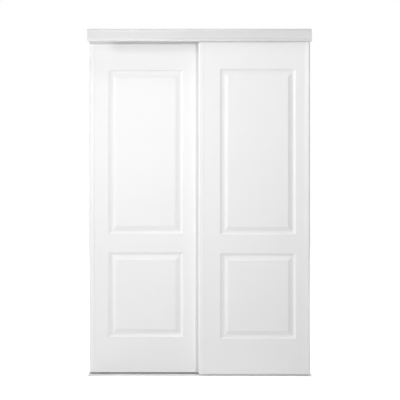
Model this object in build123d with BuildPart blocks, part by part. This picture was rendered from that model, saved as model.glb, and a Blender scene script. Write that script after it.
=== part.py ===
"""Sliding closet door: two moulded doors that pass each other between a floor track and a header."""
import os

from build123d import *

os.makedirs("parts", exist_ok=True)

# Whole set, in millimetres: X runs across the doorway, -Y faces the room, Z rises from the floor.
set_width = 1311.0
set_height = 2032.0

# Both doors, and where they stand when the doorway is shut.
frame_thick = 34.0
door_gap = 12.0
door_lift = 6.5
door_drop = 29.0
meeting_overlap = 6.5
rear_end_gap = 0.5
front_end_gap = 8.5

# Moulded slab: margins around its two raised panels, seen from the room.
slab_thick = 30.0
panel_width = 442.5
bottom_margin = 209.0
lower_panel_height = 500.0
mid_margin = 110.0
top_margin = 207.0
panel_shift = {"front": 22.0, "rear": 9.0}

# Moulding section: a quirk and a cove down to a shallow hollow, then a bevel up to the raised field.
quirk_depth = 1.5
cove_width = 12.0
cove_foot = 9.5
hollow_width = 7.0
groove_depth = 10.5
bevel_width = 26.0
bevel_start_slope = 0.25
cut_above = 2.0

# Steel edge stiles and the rails that cap the slab between them.
stile_width = 30.0
stile_web = 8.0
stile_nose = 10.0
lip_round = 0.8
score_inset = 11.5
score_depth = 0.9
rail_proud = 1.2
rail_web = 3.0
top_rail_lip = 32.0
bottom_rail_lip = 20.0
bottom_skirt = 6.0

# Header: extruded section with a rounded fascia that ends in a cove and a bead.
side_clearance = 5.0
divider_thick = 2.0
header_wall = 2.0
fascia_thick = 3.0
fascia_height = 78.0
fascia_round = 20.0
cove_height = 13.0
cove_depth = 1.6
bead_radius = 3.5
channel_leg = 47.0

# Floor track: thin base, two rounded rails and ramped edges.
track_base = 1.2
track_edge_height = 5.0
track_edge_top = 2.0
track_ramp = 4.0
rail_height = 4.0
rail_radius = 2.0

# Rollers under the doors and shoes that run in the header.
roller_inset = 95.0
roll_clearance = 0.3
wheel_groove_radius = 12.0
wheel_radius = 14.0
wheel_half_width = 5.0
groove_floor_half = 2.0
groove_mouth_half = 3.4
axle_radius = 2.5
axle_clearance = 0.1
bracket_sheet = 1.5
bracket_length = 56.0
bracket_side_gap = 1.0
axle_cover = 2.8
mortise_clearance = 0.3
wheel_head_room = 1.7
shoe_length = 46.0
shoe_stem_width = 18.0
shoe_stem_height = 2.0
shoe_head_room = 0.6
shoe_corner = 8.0
shoe_clearance = 0.4
shoe_chamfer = 1.5

# Screw holes that fix the header to the lintel and the track to the floor.
screw_radius = 2.5
screw_spacing = 1100.0
screw_rows = 30.0

# Sizes that follow from the ones above.
door_bottom = door_lift
door_top = set_height - door_drop
door_height = door_top - door_bottom
door_width = (set_width - rear_end_gap - front_end_gap + meeting_overlap) / 2
door_mid = (frame_thick + door_gap) / 2
upper_panel_height = door_height - bottom_margin - lower_panel_height - mid_margin - top_margin
rail_thick = slab_thick + 2 * rail_proud
channel_half = door_mid + frame_thick / 2 + side_clearance
track_half = channel_half + fascia_thick + track_edge_top
wheel_z = rail_height + roll_clearance + wheel_groove_radius
bracket_half = wheel_half_width + bracket_side_gap + bracket_sheet
slab_foot = door_bottom + bottom_skirt + rail_web
bracket_foot = wheel_z - axle_radius - axle_cover
bracket_top = wheel_z + wheel_radius + wheel_head_room
mortise_length = bracket_length + 2 * mortise_clearance
mortise_width = 2 * (bracket_half + mortise_clearance)
inner_round = fascia_round - fascia_thick
channel_top = set_height - header_wall
shoe_height = channel_top - inner_round - shoe_head_room - shoe_stem_height - door_top
doors = {
    "front": (set_width / 2 - front_end_gap - door_width, -door_mid),
    "rear": (-set_width / 2 + rear_end_gap, door_mid),
}


def roller_places(left):
    return (left + roller_inset, left + door_width - roller_inset)


# The header is one extrusion with a channel for each door.
with BuildPart() as header_track:
    fascia_face = -channel_half - fascia_thick
    fascia_foot = set_height - fascia_height
    bead_top = fascia_foot + 2 * bead_radius
    cove_top = bead_top + cove_height
    leg_foot = set_height - channel_leg
    back_face = channel_half + header_wall
    divider_half = divider_thick / 2
    with BuildSketch(Plane.YZ.offset(-set_width / 2)):
        with BuildLine():
            Line((back_face, set_height), (fascia_face + fascia_round, set_height))
            TangentArc(
                (fascia_face + fascia_round, set_height),
                (fascia_face, set_height - fascia_round),
                tangent=(-1, 0),
            )
            Line((fascia_face, set_height - fascia_round), (fascia_face, cove_top))
            ThreePointArc(
                (fascia_face, cove_top),
                (fascia_face + cove_depth, (cove_top + bead_top) / 2),
                (fascia_face, bead_top),
            )
            ThreePointArc(
                (fascia_face, bead_top),
                (fascia_face - bead_radius, fascia_foot + bead_radius),
                (fascia_face, fascia_foot),
            )
            Polyline(
                (fascia_face, fascia_foot),
                (back_face, fascia_foot),
                (back_face, set_height),
            )
        make_face()
        with BuildLine():
            Line((-channel_half, fascia_foot), (-channel_half, channel_top - inner_round))
            TangentArc(
                (-channel_half, channel_top - inner_round),
                (-channel_half + inner_round, channel_top),
                tangent=(0, 1),
            )
            Polyline(
                (-channel_half + inner_round, channel_top),
                (-divider_half, channel_top),
                (-divider_half, fascia_foot),
                (-channel_half, fascia_foot),
            )
        make_face(mode=Mode.SUBTRACT)
        with Locations(((divider_half + channel_half) / 2, (fascia_foot + channel_top) / 2)):
            Rectangle(channel_half - divider_half, channel_top - fascia_foot, mode=Mode.SUBTRACT)
        with Locations(((back_face - divider_half) / 2, (fascia_foot + leg_foot) / 2)):
            Rectangle(back_face + divider_half, leg_foot - fascia_foot, mode=Mode.SUBTRACT)
    extrude(amount=set_width)
    with BuildSketch(Plane.XY.offset(set_height)):
        with GridLocations(screw_spacing, screw_rows, 2, 2):
            Circle(screw_radius)
    extrude(amount=-header_wall, mode=Mode.SUBTRACT)
header_track.part.label = "header_track"
export_step(header_track.part, "parts/header_track.step")

# The floor track carries one rounded rail under each door.
with BuildPart() as bottom_track:
    with BuildSketch(Plane.YZ.offset(-set_width / 2)):
        with Locations((0, track_base / 2)):
            Rectangle(2 * track_half, track_base)
        for side in (-1, 1):
            with BuildLine():
                Polyline(
                    (side * (track_half - track_edge_top), 0),
                    (side * (track_half + track_ramp), 0),
                    (side * track_half, track_edge_height),
                    (side * (track_half - track_edge_top), track_edge_height),
                    close=True,
                )
            make_face()
            with Locations((side * door_mid, (rail_height - rail_radius) / 2)):
                Rectangle(2 * rail_radius, rail_height - rail_radius)
            with Locations((side * door_mid, rail_height - rail_radius)):
                Circle(rail_radius)
    extrude(amount=set_width)
    with BuildSketch(Plane.XY):
        with GridLocations(screw_spacing, 0, 2, 1):
            Circle(screw_radius)
    extrude(amount=track_base, mode=Mode.SUBTRACT)
bottom_track.part.label = "bottom_track"
export_step(bottom_track.part, "parts/bottom_track.step")


def moulded_slab(left, mid, shift):
    """Slab with two raised panels on each face, and a mortise in its foot for each roller."""
    middle = left + door_width / 2
    face = mid - slab_thick / 2
    head = door_top - rail_web
    lower = door_bottom + bottom_margin
    upper = lower + lower_panel_height + mid_margin
    bevel_start = cove_width + hollow_width
    band = bevel_start + bevel_width
    with BuildPart() as slab:
        with BuildSketch(Plane.XZ.offset(-mid)):
            with Locations((middle, (slab_foot + head) / 2)):
                Rectangle(door_width - 2 * stile_web, head - slab_foot)
        extrude(amount=slab_thick / 2)
        for base, height in ((lower, lower_panel_height), (upper, upper_panel_height)):
            centre = middle + shift
            half = panel_width / 2
            with BuildLine() as outline:
                Polyline(
                    (centre, face, base),
                    (centre + half, face, base),
                    (centre + half, face, base + height),
                    (centre - half, face, base + height),
                    (centre - half, face, base),
                    (centre, face, base),
                )
            with BuildSketch(Plane(origin=(centre, face, base), x_dir=(0, 0, 1), z_dir=(1, 0, 0))):
                with BuildLine():
                    Line((0, cut_above), (0, -quirk_depth))
                    hollow = TangentArc(
                        (bevel_start, -groove_depth), (cove_width, -cove_foot), tangent=(-1, 0)
                    )
                    TangentArc((cove_width, -cove_foot), (0, -quirk_depth), tangent=hollow % 1)
                    TangentArc((bevel_start, -groove_depth), (band, 0), tangent=(1, bevel_start_slope))
                    Polyline((band, 0), (band, cut_above), (0, cut_above))
                make_face()
            sweep(path=outline.wires()[0], transition=Transition.RIGHT, mode=Mode.SUBTRACT)
        mirror(about=Plane.XZ.offset(-mid))
        with BuildSketch(Plane.XY.offset(slab_foot)):
            for place in roller_places(left):
                with Locations((place, mid)):
                    Rectangle(mortise_length, mortise_width)
        extrude(amount=bracket_top + mortise_clearance - slab_foot, mode=Mode.SUBTRACT)
    return slab.part


def edge_stile(edge, inward, mid):
    """Stile that wraps one upright edge of a slab, with a scored line on its faces and rounded ends."""
    with BuildPart() as stile:
        with BuildSketch(Plane(origin=(edge, mid, door_bottom), x_dir=(inward, 0, 0))) as section:
            with Locations((stile_width / 2, 0)):
                Rectangle(stile_width, frame_thick)
            fillet(section.vertices().group_by(Axis.X)[0], stile_nose)
            fillet(section.vertices().group_by(Axis.X)[-1], lip_round)
            with Locations(((stile_width + stile_web) / 2, 0)):
                Rectangle(stile_width - stile_web, slab_thick, mode=Mode.SUBTRACT)
            with Locations((score_inset, frame_thick / 2), (score_inset, -frame_thick / 2)):
                RegularPolygon(score_depth, 4, mode=Mode.SUBTRACT)
        extrude(amount=door_height)
        with BuildSketch(
            Plane(origin=(edge, mid, door_bottom), x_dir=(inward, 0, 0), z_dir=(0, -inward, 0))
        ) as silhouette:
            with Locations((stile_width / 2, door_height / 2)):
                Rectangle(stile_width, door_height)
            fillet(silhouette.vertices().group_by(Axis.X)[0], stile_nose)
        extrude(amount=frame_thick, both=True, mode=Mode.INTERSECT)
    return stile.part


def top_cap(left, mid):
    """Channel that caps the slab's top edge between the stiles."""
    with BuildPart() as rail:
        start = left + stile_width
        with BuildSketch(Plane(origin=(start, mid, door_top), x_dir=(0, 1, 0), z_dir=(1, 0, 0))):
            with Locations((0, -top_rail_lip / 2)):
                Rectangle(rail_thick, top_rail_lip)
            with Locations((0, -(top_rail_lip + rail_web) / 2)):
                Rectangle(slab_thick, top_rail_lip - rail_web, mode=Mode.SUBTRACT)
        extrude(amount=door_width - 2 * stile_width)
    return rail.part


def bottom_cap(left, mid):
    """Section that caps the slab's foot, with a skirt over the floor rail and slots for the rollers."""
    with BuildPart() as rail:
        start = left + stile_width
        web_foot = slab_foot - rail_web
        lip_top = door_bottom + bottom_rail_lip
        with BuildSketch(Plane(origin=(start, mid, 0), x_dir=(0, 1, 0), z_dir=(1, 0, 0))):
            with Locations((0, (door_bottom + lip_top) / 2)):
                Rectangle(rail_thick, bottom_rail_lip)
            with Locations((0, (slab_foot + lip_top) / 2)):
                Rectangle(slab_thick, lip_top - slab_foot, mode=Mode.SUBTRACT)
            with Locations((0, (door_bottom + web_foot) / 2)):
                Rectangle(slab_thick, bottom_skirt, mode=Mode.SUBTRACT)
        extrude(amount=door_width - 2 * stile_width)
        with BuildSketch(Plane.XY.offset(web_foot)):
            for place in roller_places(left):
                with Locations((place, mid)):
                    Rectangle(mortise_length, mortise_width)
        extrude(amount=rail_web, mode=Mode.SUBTRACT)
    return rail.part


def roller_bracket(place, mid):
    """Folded housing in the slab's foot, with the axle across it."""
    with BuildPart() as bracket:
        height = bracket_top - bracket_foot
        with BuildSketch(Plane(origin=(place, mid, bracket_foot), x_dir=(0, 1, 0), z_dir=(1, 0, 0))):
            with Locations((0, height / 2)):
                Rectangle(2 * bracket_half, height)
            with Locations((0, (height - bracket_sheet) / 2)):
                Rectangle(2 * (bracket_half - bracket_sheet), height - bracket_sheet, mode=Mode.SUBTRACT)
        extrude(amount=bracket_length / 2, both=True)
        with BuildSketch(Plane.XZ.offset(-mid)):
            with Locations((place, wheel_z)):
                Circle(axle_radius)
        extrude(amount=bracket_half, both=True)
    return bracket.part


def roller_wheel(place, mid):
    """Grooved wheel that straddles its rail."""
    with BuildPart() as wheel:
        with BuildSketch(Plane(origin=(place, mid, wheel_z), x_dir=(0, 1, 0), z_dir=(1, 0, 0))):
            with BuildLine():
                Polyline(
                    (-wheel_half_width, axle_radius + axle_clearance),
                    (wheel_half_width, axle_radius + axle_clearance),
                    (wheel_half_width, wheel_radius),
                    (groove_mouth_half, wheel_radius),
                    (groove_floor_half, wheel_groove_radius),
                    (-groove_floor_half, wheel_groove_radius),
                    (-groove_mouth_half, wheel_radius),
                    (-wheel_half_width, wheel_radius),
                    close=True,
                )
            make_face()
        revolve(axis=Axis((place, mid, wheel_z), (0, 1, 0)))
    return wheel.part


def guide_shoe(place, mid):
    """Shoe on the door's head that runs in the header channel."""
    with BuildPart() as shoe:
        with BuildSketch(Plane.XY.offset(door_top)):
            with Locations((place, mid)):
                Rectangle(shoe_length, shoe_stem_width)
        extrude(amount=shoe_stem_height)
        with BuildSketch(Plane.XY.offset(door_top + shoe_stem_height)) as head:
            with Locations((place, mid)):
                Rectangle(shoe_length, 2 * (channel_half - door_mid - shoe_clearance))
            chamfer(head.vertices(), shoe_corner)
        extrude(amount=shoe_height)
        chamfer(shoe.faces().sort_by(Axis.Z)[-1].edges(), shoe_chamfer)
    return shoe.part


# Both doors are made of the same pieces; only their places and the set of the panels differ.
for door, (left, mid) in doors.items():
    right = left + door_width
    near, far = roller_places(left)
    pieces = {
        "panel": moulded_slab(left, mid, panel_shift[door]),
        "left_stile": edge_stile(left, 1, mid),
        "right_stile": edge_stile(right, -1, mid),
        "top_rail": top_cap(left, mid),
        "bottom_rail": bottom_cap(left, mid),
        "left_bracket": roller_bracket(near, mid),
        "right_bracket": roller_bracket(far, mid),
        "left_wheel": roller_wheel(near, mid),
        "right_wheel": roller_wheel(far, mid),
        "left_shoe": guide_shoe(near, mid),
        "right_shoe": guide_shoe(far, mid),
    }
    for name, piece in pieces.items():
        piece.label = f"{door}_{name}"
        export_step(piece, f"parts/{door}_{name}.step")
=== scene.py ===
"""Looks of a sliding closet door: two white moulded doors between a floor track and a header."""
import math

import bpy
import numpy as np
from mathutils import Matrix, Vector


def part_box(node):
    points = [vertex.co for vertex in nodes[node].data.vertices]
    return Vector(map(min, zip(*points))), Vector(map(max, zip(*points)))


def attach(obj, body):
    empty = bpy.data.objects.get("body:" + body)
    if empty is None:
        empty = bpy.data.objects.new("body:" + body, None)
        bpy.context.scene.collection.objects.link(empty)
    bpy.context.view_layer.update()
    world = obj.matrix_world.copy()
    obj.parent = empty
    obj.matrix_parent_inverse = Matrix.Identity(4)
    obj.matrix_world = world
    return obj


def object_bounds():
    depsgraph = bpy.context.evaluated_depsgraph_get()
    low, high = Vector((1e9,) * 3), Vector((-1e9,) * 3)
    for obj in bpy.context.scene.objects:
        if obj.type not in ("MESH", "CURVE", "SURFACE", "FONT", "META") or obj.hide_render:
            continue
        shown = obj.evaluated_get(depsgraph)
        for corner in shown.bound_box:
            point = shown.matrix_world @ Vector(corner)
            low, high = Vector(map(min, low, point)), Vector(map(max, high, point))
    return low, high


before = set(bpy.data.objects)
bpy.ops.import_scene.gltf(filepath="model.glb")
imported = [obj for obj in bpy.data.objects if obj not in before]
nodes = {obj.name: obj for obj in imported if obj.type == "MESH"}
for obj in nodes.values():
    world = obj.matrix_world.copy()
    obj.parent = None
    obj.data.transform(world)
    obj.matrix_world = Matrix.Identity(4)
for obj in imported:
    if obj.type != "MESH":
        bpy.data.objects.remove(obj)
cad_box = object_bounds()

# Floor track: a low aluminium extrusion with a rail for each door, screwed flat to the floor.
# It is left bare, with the fine lengthwise lines that the die leaves on it, and its screws are zinc plated.


def linear(hex_colour):
    """Linear colour of an sRGB hex value, by the sRGB curve: a short straight foot, then a power of 2.4."""
    srgb = np.array([int(hex_colour[i:i + 2], 16) for i in (1, 3, 5)]) / 255
    rgb = np.where(srgb <= 0.04045, srgb / 12.92, ((srgb + 0.055) / 1.055) ** 2.4)
    return (*rgb.tolist(), 1.0)


def add(tree, kind, sockets=None, **settings):
    """Adds a node, sets its settings, and fills its sockets with values or with links from other sockets."""
    made = tree.nodes.new(kind)
    for name, value in settings.items():
        setattr(made, name, value)
    for name, value in (sockets or {}).items():
        if isinstance(value, bpy.types.NodeSocket):
            tree.links.new(value, made.inputs[name])
        else:
            made.inputs[name].default_value = value
    return made


# Extruded aluminium, satin: grey, with die lines along X about 1 mm apart that spread its reflections.
aluminium = bpy.data.materials.new("extruded_aluminium")
aluminium.use_nodes = True
tree = aluminium.node_tree
tree.nodes.clear()
die_line_mm = 1.0
place = add(tree, "ShaderNodeTexCoord")
stretch = add(tree, "ShaderNodeMapping", {"Vector": place.outputs["Object"], "Scale": (0.004, 1.0, 1.0)})
lines = add(tree, "ShaderNodeTexNoise", {"Vector": stretch.outputs[0], "Scale": 1000 / die_line_mm,
                                         "Detail": 2.0})
tone = add(tree, "ShaderNodeMix", {"Factor": lines.outputs["Fac"], "A": linear("#bfbfbf"),
                                   "B": linear("#d0d0d0")}, data_type="RGBA")
gloss = add(tree, "ShaderNodeMapRange", {"Value": lines.outputs["Fac"], "To Min": 0.34, "To Max": 0.5})
relief = add(tree, "ShaderNodeBump", {"Height": lines.outputs["Fac"], "Strength": 0.12, "Distance": 0.0002})
metal = add(tree, "ShaderNodeBsdfPrincipled", {"Base Color": tone.outputs["Result"], "Metallic": 0.85,
                                               "Roughness": gloss.outputs[0], "Normal": relief.outputs[0]})
add(tree, "ShaderNodeOutputMaterial", {"Surface": metal.outputs[0]})
nodes["bottom_track"].data.materials[0] = aluminium

# Zinc plated steel, for the screws here and the brackets below: a dull grey with a fine crystalline mottle.
# The crystals are drawn coarser than real ones, which are too fine to show.
zinc = bpy.data.materials.new("zinc_plated_steel")
zinc.use_nodes = True
tree = zinc.node_tree
tree.nodes.clear()
crystal_mm = 2.5
place = add(tree, "ShaderNodeTexCoord")
crystal = add(tree, "ShaderNodeTexVoronoi", {"Vector": place.outputs["Object"], "Scale": 1000 / crystal_mm})
tone = add(tree, "ShaderNodeMix", {"Factor": crystal.outputs["Distance"], "A": linear("#a5a8aa"),
                                   "B": linear("#8d9092")}, data_type="RGBA")
gloss = add(tree, "ShaderNodeMapRange", {"Value": crystal.outputs["Distance"], "To Min": 0.32,
                                         "To Max": 0.48})
metal = add(tree, "ShaderNodeBsdfPrincipled", {"Base Color": tone.outputs["Result"], "Metallic": 1.0,
                                               "Roughness": gloss.outputs[0]})
add(tree, "ShaderNodeOutputMaterial", {"Surface": metal.outputs[0]})


def screw_heads(name, seats, axes, radius, crown):
    """Cross-recessed screw heads, one on each seat.

    A closed profile is turned round each axis: over the crown, whose height falls with the square of the
    radius, then under the rim to the shank. The recess sinks the crown along two crossed lines: its depth is
    a steep bell of the distance to the nearer line, and fades to nothing towards the ends of the arms.
    """
    rings, steps = 16, 48
    recess, seat = 0.7 * crown, -0.4 * crown
    arm_half, arm_reach, arm_fade = 0.16 * radius, 0.7 * radius, 0.25 * radius
    share = np.linspace(0, 1, rings + 1)[1:]
    out = np.append(share, 0.5) * radius
    rise = np.append(crown * (1 - 0.8 * share ** 2), seat)
    turn = 2 * np.pi * np.arange(steps) / steps
    x, y = out[:, None] * np.cos(turn), out[:, None] * np.sin(turn)
    near, far = np.minimum(np.abs(x), np.abs(y)), np.maximum(np.abs(x), np.abs(y))
    cross = np.exp(-(near / arm_half) ** 4) * np.clip((arm_reach - far) / arm_fade, 0, 1)
    z = rise[:, None] - recess * cross * (np.arange(len(out)) < rings)[:, None]
    grid = np.stack([x, y, z], axis=-1).reshape(-1, 3)
    local = np.concatenate([[(0, 0, crown - recess)], grid, [(0, 0, seat)]])
    seats, axes = np.asarray(seats, float), np.asarray(axes, float)
    side = np.cross(np.where(np.abs(axes[:, 2:]) < 0.5, (0.0, 0.0, 1.0), (1.0, 0.0, 0.0)), axes)
    turned = np.stack([side, np.cross(axes, side), axes], axis=1)
    points = seats[:, None] + np.einsum("pk,nkc->npc", local, turned)
    ring = 1 + np.arange(len(out) * steps).reshape(len(out), steps)
    after = np.roll(ring, -1, axis=1)
    quads = np.stack([ring[:-1], ring[1:], after[1:], after[:-1]], axis=-1).reshape(-1, 4)
    top = np.stack([np.zeros(steps, int), ring[0], after[0]], axis=-1)
    foot = np.stack([np.full(steps, len(local) - 1), after[-1], ring[-1]], axis=-1)
    first = len(local) * np.arange(len(seats))[:, None, None]
    ends = np.concatenate([top, foot])
    faces = [*(quads + first).reshape(-1, 4).tolist(), *(ends + first).reshape(-1, 3).tolist()]
    mesh = bpy.data.meshes.new(name)
    mesh.from_pydata(points.reshape(-1, 3).tolist(), [], faces)
    mesh.polygons.foreach_set("use_smooth", np.ones(len(faces), bool))
    mesh.materials.append(zinc)
    made = bpy.data.objects.new(name, mesh)
    bpy.context.scene.collection.objects.link(made)
    return made


screw_reach = 0.55
track_base = 0.0012
track_screws = screw_heads(
    "track_screws",
    [(-screw_reach, 0, track_base), (screw_reach, 0, track_base)],
    [(0, 0, 1), (0, 0, 1)],
    radius=0.0045,
    crown=0.0018,
)
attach(track_screws, "tracks")

# Header: a deep extrusion screwed under the lintel, with a fascia that hides the door heads.
# It is stove enamelled in gloss white, so its rounded upper edge carries a long bright reflection.
enamel = bpy.data.materials.new("gloss_stove_enamel")
enamel.use_nodes = True
tree = enamel.node_tree
tree.nodes.clear()
flow_mm = 120.0
place = add(tree, "ShaderNodeTexCoord")
flow = add(tree, "ShaderNodeTexNoise", {"Vector": place.outputs["Object"], "Scale": 1000 / flow_mm,
                                        "Detail": 2.0})
gloss = add(tree, "ShaderNodeMapRange", {"Value": flow.outputs["Fac"], "To Min": 0.18, "To Max": 0.22})
relief = add(tree, "ShaderNodeBump", {"Height": flow.outputs["Fac"], "Strength": 0.01, "Distance": 0.0003})
tone = add(tree, "ShaderNodeMix", {"Factor": flow.outputs["Fac"], "A": linear("#dedede"),
                                   "B": linear("#e0e0e0")}, data_type="RGBA")
coat = add(tree, "ShaderNodeBsdfPrincipled", {"Base Color": tone.outputs["Result"],
                                              "Roughness": gloss.outputs[0],
                                              "IOR": 1.5, "Normal": relief.outputs[0]})
add(tree, "ShaderNodeOutputMaterial", {"Surface": coat.outputs[0]})
nodes["header_track"].data.materials[0] = enamel

web_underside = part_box("header_track")[1].z - 0.002
header_screws = screw_heads(
    "header_screws",
    [(x, y, web_underside) for x in (-screw_reach, screw_reach) for y in (-0.015, 0.015)],
    [(0, 0, -1)] * 4,
    radius=0.0048,
    crown=0.0022,
)
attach(header_screws, "tracks")

# Door slabs: pressed hardboard skins with two raised panels, sprayed with satin white paint.
# The spray leaves a faint orange peel and a very slight unevenness of tone.
paint = bpy.data.materials.new("satin_spray_paint")
paint.use_nodes = True
tree = paint.node_tree
tree.nodes.clear()
peel_mm = 4.0
mottle_mm = 260.0
place = add(tree, "ShaderNodeTexCoord")
peel = add(tree, "ShaderNodeTexNoise", {"Vector": place.outputs["Object"], "Scale": 1000 / peel_mm,
                                        "Detail": 1.0})
mottle = add(tree, "ShaderNodeTexNoise", {"Vector": place.outputs["Object"], "Scale": 1000 / mottle_mm,
                                          "Detail": 3.0})
tone = add(tree, "ShaderNodeMix", {"Factor": mottle.outputs["Fac"], "A": linear("#eeeeee"),
                                   "B": linear("#f1f1f1")}, data_type="RGBA")
gloss = add(tree, "ShaderNodeMapRange", {"Value": mottle.outputs["Fac"], "To Min": 0.42, "To Max": 0.52})
relief = add(tree, "ShaderNodeBump", {"Height": peel.outputs["Fac"], "Strength": 0.04, "Distance": 0.0003})
skin = add(tree, "ShaderNodeBsdfPrincipled", {"Base Color": tone.outputs["Result"],
                                              "Roughness": gloss.outputs[0],
                                              "IOR": 1.5, "Normal": relief.outputs[0]})
add(tree, "ShaderNodeOutputMaterial", {"Surface": skin.outputs[0]})
for door in ("front", "rear"):
    nodes[f"{door}_panel"].data.materials[0] = paint

# Stiles and rails: rolled steel channels that wrap the slab's edges and are screwed at the corners.
# They are enamelled white like the header, a little less glossy.
rolled = bpy.data.materials.new("enamelled_rolled_steel")
rolled.use_nodes = True
tree = rolled.node_tree
tree.nodes.clear()
roll_mm = 18.0
place = add(tree, "ShaderNodeTexCoord")
stretch = add(tree, "ShaderNodeMapping", {"Vector": place.outputs["Object"], "Scale": (1.0, 1.0, 0.05)})
roll = add(tree, "ShaderNodeTexNoise", {"Vector": stretch.outputs[0], "Scale": 1000 / roll_mm, "Detail": 2.0})
gloss = add(tree, "ShaderNodeMapRange", {"Value": roll.outputs["Fac"], "To Min": 0.3, "To Max": 0.4})
relief = add(tree, "ShaderNodeBump", {"Height": roll.outputs["Fac"], "Strength": 0.05, "Distance": 0.0003})
tone = add(tree, "ShaderNodeMix", {"Factor": roll.outputs["Fac"], "A": linear("#f1f1f1"),
                                   "B": linear("#f4f4f4")}, data_type="RGBA")
coat = add(tree, "ShaderNodeBsdfPrincipled", {"Base Color": tone.outputs["Result"],
                                              "Roughness": gloss.outputs[0],
                                              "IOR": 1.5, "Normal": relief.outputs[0]})
add(tree, "ShaderNodeOutputMaterial", {"Surface": coat.outputs[0]})
for door in ("front", "rear"):
    for piece in ("left_stile", "right_stile", "top_rail", "bottom_rail"):
        nodes[f"{door}_{piece}"].data.materials[0] = rolled

screw_inset = 0.018
for door in ("front", "rear"):
    left_low, left_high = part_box(f"{door}_left_stile")
    right_low, right_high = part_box(f"{door}_right_stile")
    middle = (left_low.y + left_high.y) / 2
    heights = (left_low.z + screw_inset, left_high.z - screw_inset)
    corner_screws = screw_heads(
        f"{door}_corner_screws",
        [(x, middle, z) for x in (left_low.x, right_high.x) for z in heights],
        [(-1, 0, 0), (-1, 0, 0), (1, 0, 0), (1, 0, 0)],
        radius=0.0034,
        crown=0.00045,
    )
    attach(corner_screws, f"{door}_door")

# Roller brackets: folded steel housings let into the foot of each door, with the axle pressed across them.
# They are zinc plated like the screws.
for door in ("front", "rear"):
    for piece in ("left_bracket", "right_bracket"):
        nodes[f"{door}_{piece}"].data.materials[0] = zinc

# Wheels and shoes: moulded in natural nylon, off-white and slightly waxy.
# The wheels roll on the track's rails; the shoes on the door heads run in the header's channels.
nylon = bpy.data.materials.new("natural_nylon")
nylon.use_nodes = True
tree = nylon.node_tree
tree.nodes.clear()
cloud_mm = 9.0
place = add(tree, "ShaderNodeTexCoord")
cloud = add(tree, "ShaderNodeTexNoise", {"Vector": place.outputs["Object"], "Scale": 1000 / cloud_mm})
tone = add(tree, "ShaderNodeMix", {"Factor": cloud.outputs["Fac"], "A": linear("#dedbd2"),
                                   "B": linear("#e8e6de")}, data_type="RGBA")
gloss = add(tree, "ShaderNodeMapRange", {"Value": cloud.outputs["Fac"], "To Min": 0.4, "To Max": 0.5})
wax = add(tree, "ShaderNodeBsdfPrincipled", {"Base Color": tone.outputs["Result"],
                                             "Roughness": gloss.outputs[0], "IOR": 1.53})
add(tree, "ShaderNodeOutputMaterial", {"Surface": wax.outputs[0]})
for door in ("front", "rear"):
    for piece in ("left_wheel", "right_wheel", "left_shoe", "right_shoe"):
        nodes[f"{door}_{piece}"].data.materials[0] = nylon

# Studio floor: a sheet of white paper that keeps the set's shadow.
# To the camera it grows white with distance, so that it meets the white background without a line.
floor_half = 6.0
rows, columns = np.meshgrid([-floor_half, floor_half], [-floor_half, floor_half], indexing="ij")
corners = np.stack([rows, columns, np.zeros_like(rows)], axis=-1).reshape(-1, 3)
floor_mesh = bpy.data.meshes.new("studio_floor")
floor_mesh.from_pydata(corners.tolist(), [], [(0, 2, 3, 1)])
floor = bpy.data.objects.new("studio_floor", floor_mesh)
bpy.context.scene.collection.objects.link(floor)
sweep_paper = bpy.data.materials.new("white_paper")
sweep_paper.use_nodes = True
tree = sweep_paper.node_tree
tree.nodes.clear()
matt = add(tree, "ShaderNodeBsdfDiffuse", {"Color": linear("#ececec")})
seen = add(tree, "ShaderNodeLightPath")
place = add(tree, "ShaderNodeTexCoord")
reach = add(tree, "ShaderNodeVectorMath", {0: place.outputs["Object"]}, operation="LENGTH")
white = add(tree, "ShaderNodeMapRange", {"Value": reach.outputs["Value"], "From Min": 0.6, "From Max": 2.4,
                                         "To Min": 0.72, "To Max": 1.0}, interpolation_type="SMOOTHSTEP")
glow = add(tree, "ShaderNodeEmission", {"Strength": white.outputs[0]})
lift = add(tree, "ShaderNodeAddShader")
tree.links.new(matt.outputs[0], lift.inputs[0])
tree.links.new(glow.outputs[0], lift.inputs[1])
straight = add(tree, "ShaderNodeMath", {0: seen.outputs["Is Camera Ray"],
                                        1: seen.outputs["Is Transmission Ray"]}, operation="MAXIMUM")
shown = add(tree, "ShaderNodeMath", {0: straight.outputs[0], 1: seen.outputs["Is Glossy Ray"]},
            operation="MAXIMUM")
both = add(tree, "ShaderNodeMixShader", {"Fac": shown.outputs[0]})
tree.links.new(matt.outputs[0], both.inputs[1])
tree.links.new(lift.outputs[0], both.inputs[2])
add(tree, "ShaderNodeOutputMaterial", {"Surface": both.outputs[0]})
floor_mesh.materials.append(sweep_paper)

# Studio light: a faint even room, which the camera and reflections see as white.
# It only keeps the shadows from going black; the lamps below do the rest.
world = bpy.data.worlds.new("studio")
bpy.context.scene.world = world
world.use_nodes = True
tree = world.node_tree
tree.nodes.clear()
room_level = 0.06
seen = add(tree, "ShaderNodeLightPath")
straight = add(tree, "ShaderNodeMath", {0: seen.outputs["Is Camera Ray"],
                                        1: seen.outputs["Is Transmission Ray"]}, operation="MAXIMUM")
plain = add(tree, "ShaderNodeMath", {0: straight.outputs[0], 1: seen.outputs["Is Glossy Ray"]},
            operation="MAXIMUM")
level = add(tree, "ShaderNodeMapRange", {"Value": plain.outputs[0], "To Min": room_level, "To Max": 1.0})
sky = add(tree, "ShaderNodeBackground", {"Color": (1, 1, 1, 1), "Strength": level.outputs[0]})
add(tree, "ShaderNodeOutputWorld", {"Surface": sky.outputs[0]})

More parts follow.
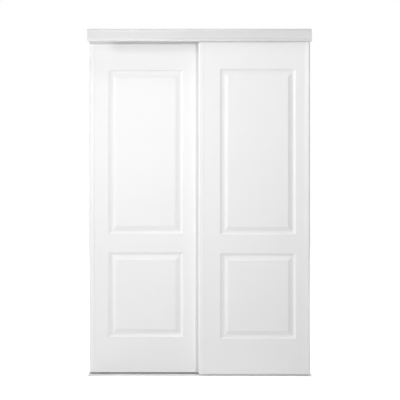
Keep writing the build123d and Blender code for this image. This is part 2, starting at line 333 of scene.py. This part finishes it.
# Soft lamps: five in front of the set and one behind it, all turned to the middle of the doors.
# The left one grazes the doors, so that the mouldings show; the right one shades the edge where they meet.
# The rear one is kept out of reflections, because it would whiten the bare track.
aim = Vector((-0.1, 0.0, 1.2))
for name, width, height, energy, stand in (
    ("tall_soft_lamp", 0.6, 1.4, 9.2, Vector((-0.6, -1.6, 1.5))),
    ("left_soft_lamp", 0.6, 0.8, 206, Vector((-6.8, -2.4, 4.2))),
    ("right_soft_lamp", 0.5, 0.3, 110, Vector((2.5, -5.5, 2.55))),
    ("strip_soft_lamp", 1.0, 0.3, 11, Vector((-0.75, -3.0, 3.6))),
    ("top_soft_lamp", 1.6, 0.3, 14, Vector((-0.2, -0.7, 4.2))),
    ("rear_soft_lamp", 0.8, 0.8, 145, Vector((-2.4, 3.4, 2.7))),
):
    lamp = bpy.data.lights.new(name, "AREA")
    lamp.shape = "RECTANGLE"
    lamp.size, lamp.size_y = width, height
    lamp.energy = energy
    lamp_object = bpy.data.objects.new(name, lamp)
    lamp_object.location = stand
    lamp_object.visible_glossy = name != "rear_soft_lamp"
    lamp_object.rotation_euler = (aim - stand).to_track_quat("-Z", "Y").to_euler()
    bpy.context.scene.collection.objects.link(lamp_object)

# Camera: level, straight in front of the set, with its eye at about the height of the doors' middle rails.
# Its distance gives the rear door the slightly smaller scale that it has beside the front one.
image_px = 400
focal_px = 669.0
horizon_px = 168.0
header_top_px = 28.0
middle_px = 199.6
front_scale = 5.832e-3
header_top = cad_box[1][2]
front_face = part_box("header_track")[0].y
eye = bpy.data.cameras.new("eye")
eye.sensor_width = 36.0
eye.lens = focal_px / image_px * eye.sensor_width
eye.shift_y = (horizon_px - image_px / 2) / image_px
eye_object = bpy.data.objects.new("eye", eye)
eye_object.location = (
    (image_px / 2 - middle_px) * front_scale,
    front_face - focal_px * front_scale,
    header_top - (horizon_px - header_top_px) * front_scale,
)
eye_object.rotation_euler = (math.pi / 2, 0, 0)
bpy.context.scene.collection.objects.link(eye_object)
bpy.context.scene.camera = eye_object
bpy.context.scene.view_settings.view_transform = "Standard"
